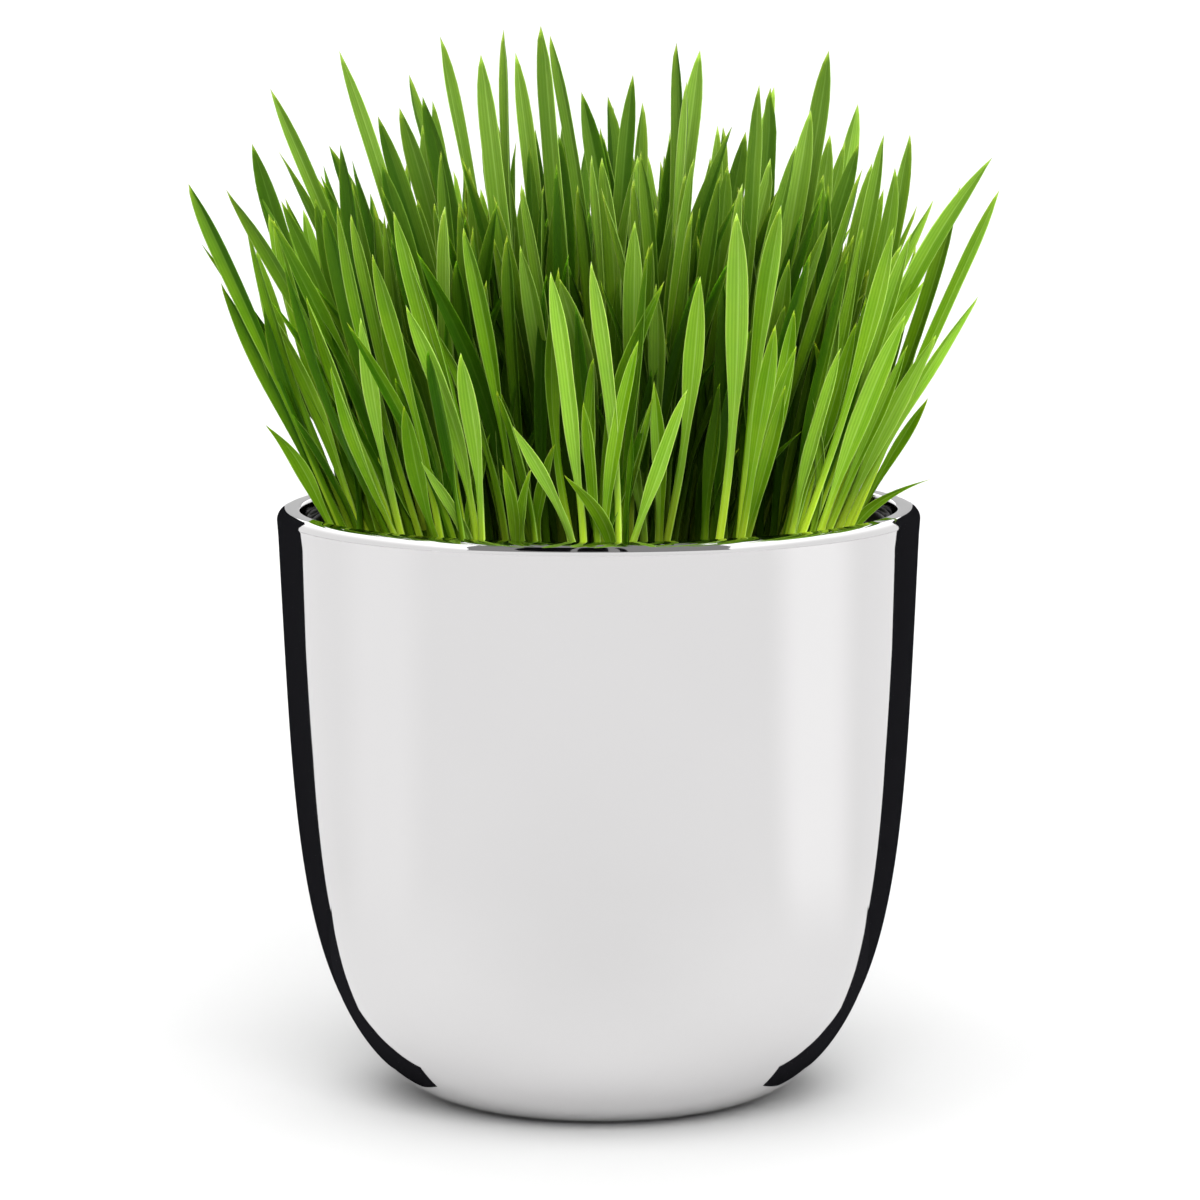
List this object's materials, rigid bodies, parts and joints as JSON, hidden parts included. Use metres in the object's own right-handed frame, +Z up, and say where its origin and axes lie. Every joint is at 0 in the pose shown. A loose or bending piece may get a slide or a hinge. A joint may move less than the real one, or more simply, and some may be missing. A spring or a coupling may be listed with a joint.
{
  "type": "potted cat grass",
  "caption": "Young cereal grass in fanned bunches, rooted in soil in a grow pot inside a U-shaped mirror-polished metal pot with a thick flat rim.",
  "frame": {"origin": "centre of the pot's flat underside, on the surface it stands on", "axes": "+Z up along the pot's axis, -Y towards the front as pictured, +X to the right"},
  "size_m": [0.1606, 0.1595, 0.2169],
  "materials": {
    "polished_metal": "polished",
    "black_plastic": "satin",
    "potting_soil": "matte",
    "grass_blades": "satin"
  },
  "bodies": {
    "root": {"pot": "polished_metal", "grow_pot": "black_plastic", "soil": "potting_soil", "grass_bunch_01": "grass_blades", "grass_bunch_02": "grass_blades", "grass_bunch_03": "grass_blades", "grass_bunch_04": "grass_blades", "grass_bunch_05": "grass_blades", "grass_bunch_06": "grass_blades", "grass_bunch_07": "grass_blades", "grass_bunch_08": "grass_blades", "grass_bunch_09": "grass_blades", "grass_bunch_10": "grass_blades", "grass_bunch_11": "grass_blades", "grass_bunch_12": "grass_blades", "grass_bunch_13": "grass_blades", "grass_bunch_14": "grass_blades", "grass_bunch_15": "grass_blades", "grass_bunch_16": "grass_blades", "grass_bunch_17": "grass_blades", "grass_bunch_18": "grass_blades", "grass_bunch_19": "grass_blades", "grass_bunch_20": "grass_blades", "grass_bunch_21": "grass_blades", "grass_bunch_22": "grass_blades", "grass_bunch_23": "grass_blades", "grass_bunch_24": "grass_blades", "grass_bunch_25": "grass_blades", "grass_bunch_26": "grass_blades", "grass_bunch_27": "grass_blades", "grass_bunch_28": "grass_blades", "grass_bunch_29": "grass_blades", "grass_bunch_30": "grass_blades", "grass_bunch_31": "grass_blades", "grass_bunch_32": "grass_blades", "grass_bunch_33": "grass_blades", "grass_bunch_34": "grass_blades", "grass_bunch_35": "grass_blades", "grass_bunch_36": "grass_blades", "grass_bunch_37": "grass_blades", "grass_bunch_38": "grass_blades", "grass_bunch_39": "grass_blades", "grass_bunch_40": "grass_blades", "grass_bunch_41": "grass_blades", "grass_bunch_42": "grass_blades"}
  },
  "joints": []
}
